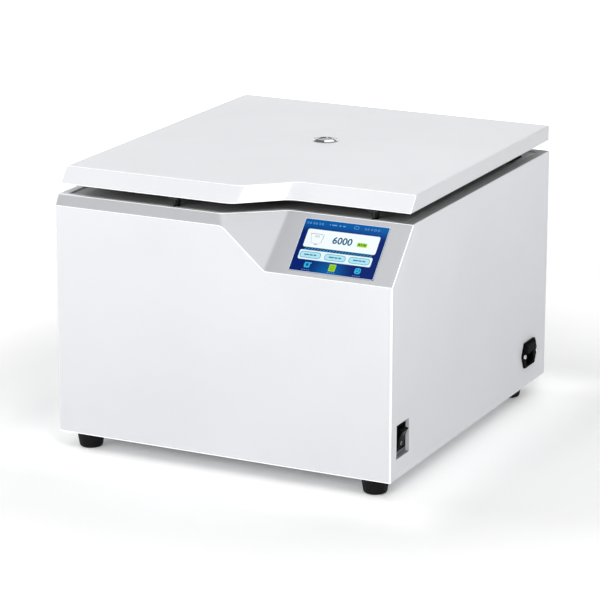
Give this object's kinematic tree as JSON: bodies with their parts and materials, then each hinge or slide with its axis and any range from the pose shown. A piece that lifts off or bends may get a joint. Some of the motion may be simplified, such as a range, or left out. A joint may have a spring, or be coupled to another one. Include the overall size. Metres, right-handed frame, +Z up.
{
  "type": "microplate centrifuge",
  "caption": "White bench centrifuge for microplates: folded casing with a sloped touch-screen panel, rear-hinged lid with a viewing port, and a swing-out rotor inside.",
  "frame": {"origin": "on the bench, under the middle of the casing", "axes": "+X to the operator's right, +Y to the rear, +Z up; the lid opens about X at the rear"},
  "size_m": [0.4579, 0.5022, 0.3589],
  "materials": {
    "casing_paint": "satin powder coat",
    "lid_paint": "satin powder coat",
    "deck_paint": "satin powder coat",
    "zinc_sheet": "zinc plated",
    "stainless": "brushed",
    "armour_paint": "matt",
    "seal_rubber": "matt",
    "foot_rubber": "matt",
    "liner_plastic": "fine grain",
    "bright_chrome": "polished",
    "window_glass": "clear",
    "hinge_steel": "satin",
    "spring_black": "gloss",
    "screw_steel": "plated",
    "lock_steel": "plated",
    "motor_black": "matt",
    "cast_aluminium": "machined",
    "mount_rubber": "matt",
    "bearing_steel": "ground",
    "shaft_steel": "ground",
    "rotor_aluminium": "anodised",
    "carrier_aluminium": "anodised",
    "screen_glass": "glossy",
    "black_plastic": "fine grain",
    "rocker_plastic": "semi gloss",
    "board_green": "coated",
    "pin_metal": "nickel plated",
    "sink_aluminium": "black anodised"
  },
  "bodies": {
    "base": {"housing_shell": "casing_paint", "rear_panel": "casing_paint", "rear_screws": "screw_steel", "base_plate": "zinc_sheet", "top_deck": "deck_paint", "rubber_feet": "foot_rubber", "foot_screws": "screw_steel", "foot_nuts": "screw_steel", "chamber_bowl": "stainless", "guard_ring": "armour_paint", "chamber_seal": "seal_rubber", "hinge_fixed_leaves": "hinge_steel", "hinge_pins": "hinge_steel", "hinge_screws": "screw_steel", "gas_spring_base_brackets": "lock_steel", "lock_housings": "lock_steel", "lock_pins": "lock_steel", "lock_motors": "motor_black", "motor_body": "motor_black", "motor_plate": "cast_aluminium", "motor_posts": "lock_steel", "motor_dampers": "mount_rubber", "lower_bearing": "bearing_steel", "upper_bearing": "bearing_steel", "shaft_boot": "seal_rubber", "touch_screen": "screen_glass", "display_module": "black_plastic", "control_board": "board_green", "switch_body": "black_plastic", "inlet_body": "black_plastic", "inlet_pins": "pin_metal", "inlet_screws": "screw_steel", "fan_frame": "black_plastic", "drive_board": "board_green", "drive_heatsink": "sink_aluminium", "mains_filter": "zinc_sheet", "imbalance_switch": "lock_steel"},
    "lid": {"lid_cover": "lid_paint", "lid_plate": "liner_plastic", "port_bezel": "bright_chrome", "port_glass": "window_glass", "hinge_moving_leaves": "hinge_steel", "gas_spring_lid_brackets": "lock_steel", "lid_strikers": "bright_chrome"},
    "spring_tube_left": {"gas_spring_tube_left": "spring_black"},
    "spring_tube_right": {"gas_spring_tube_right": "spring_black"},
    "spring_rod_left": {"gas_spring_rod_left": "bright_chrome"},
    "spring_rod_right": {"gas_spring_rod_right": "bright_chrome"},
    "rotor": {"rotor_yoke": "rotor_aluminium", "rotor_nut": "cast_aluminium", "trunnion_pins": "shaft_steel", "drive_shaft": "shaft_steel"},
    "carrier_left": {"plate_carrier_left": "carrier_aluminium"},
    "carrier_right": {"plate_carrier_right": "carrier_aluminium"},
    "hook_left": {"lock_hook_left": "lock_steel"},
    "hook_right": {"lock_hook_right": "lock_steel"},
    "power_rocker": {"switch_rocker": "rocker_plastic"},
    "fuse_holder": {"fuse_drawer": "black_plastic"},
    "fan_wheel": {"fan_blades": "black_plastic"}
  },
  "joints": [
    {"name": "lid_hinge", "type": "hinge", "parent": "base", "child": "lid", "pos_m": [0, 0.2501, 0.3309], "axis": [-1, 0, 0], "range_deg": [0, 75]},
    {"name": "spring_left_top_pivot", "type": "hinge", "parent": "lid", "child": "spring_tube_left", "pos_m": [-0.1932, 0.175, 0.3263], "axis": [-1, 0, 0], "range_deg": [-70.01, 0]},
    {"name": "spring_left_stroke", "type": "slide", "parent": "spring_tube_left", "child": "spring_rod_left", "axis": [0, -0.2388, -0.9711], "range_m": [0, 0.08748]},
    {"name": "spring_right_top_pivot", "type": "hinge", "parent": "lid", "child": "spring_tube_right", "pos_m": [0.1932, 0.175, 0.3263], "axis": [-1, 0, 0], "range_deg": [-70.01, 0]},
    {"name": "spring_right_stroke", "type": "slide", "parent": "spring_tube_right", "child": "spring_rod_right", "axis": [0, -0.2388, -0.9711], "range_m": [0, 0.08748]},
    {"name": "rotor_spin", "type": "hinge", "parent": "base", "child": "rotor", "pos_m": [0, 0.0445, 0.2489], "axis": [0, 0, 1], "continuous": true},
    {"name": "carrier_left_swing", "type": "hinge", "parent": "rotor", "child": "carrier_left", "pos_m": [-0.092, 0.0445, 0.2489], "axis": [0, 1, 0], "range_deg": [0, 90]},
    {"name": "carrier_right_swing", "type": "hinge", "parent": "rotor", "child": "carrier_right", "pos_m": [0.092, 0.0445, 0.2489], "axis": [0, -1, 0], "range_deg": [0, 90]},
    {"name": "lock_left_hook", "type": "hinge", "parent": "base", "child": "hook_left", "pos_m": [-0.0551, -0.2261, 0.2864], "axis": [0, 1, 0], "range_deg": [0, 30]},
    {"name": "lock_right_hook", "type": "hinge", "parent": "base", "child": "hook_right", "pos_m": [0.1849, -0.1759, 0.2864], "axis": [0, 1, 0], "range_deg": [0, 30]},
    {"name": "power_switch", "type": "hinge", "parent": "base", "child": "power_rocker", "pos_m": [0.2206, -0.2123, 0.0704], "axis": [0, -1, 0], "range_deg": [0, 30]},
    {"name": "fuse_drawer_slide", "type": "slide", "parent": "base", "child": "fuse_holder", "axis": [1, 0, 0], "range_m": [0, 0.016]},
    {"name": "fan_spin", "type": "hinge", "parent": "base", "child": "fan_wheel", "pos_m": [-0.15, 0.2333, 0.082], "axis": [0, 1, 0], "continuous": true}
  ],
  "couplings": [
    {"joint": "spring_left_top_pivot", "follows": "lid_hinge", "ratio": -0.93277},
    {"joint": "spring_left_stroke", "follows": "lid_hinge", "m_per_rad": 0.06675},
    {"joint": "spring_right_top_pivot", "follows": "lid_hinge", "ratio": -0.93277},
    {"joint": "spring_right_stroke", "follows": "lid_hinge", "m_per_rad": 0.06675}
  ]
}
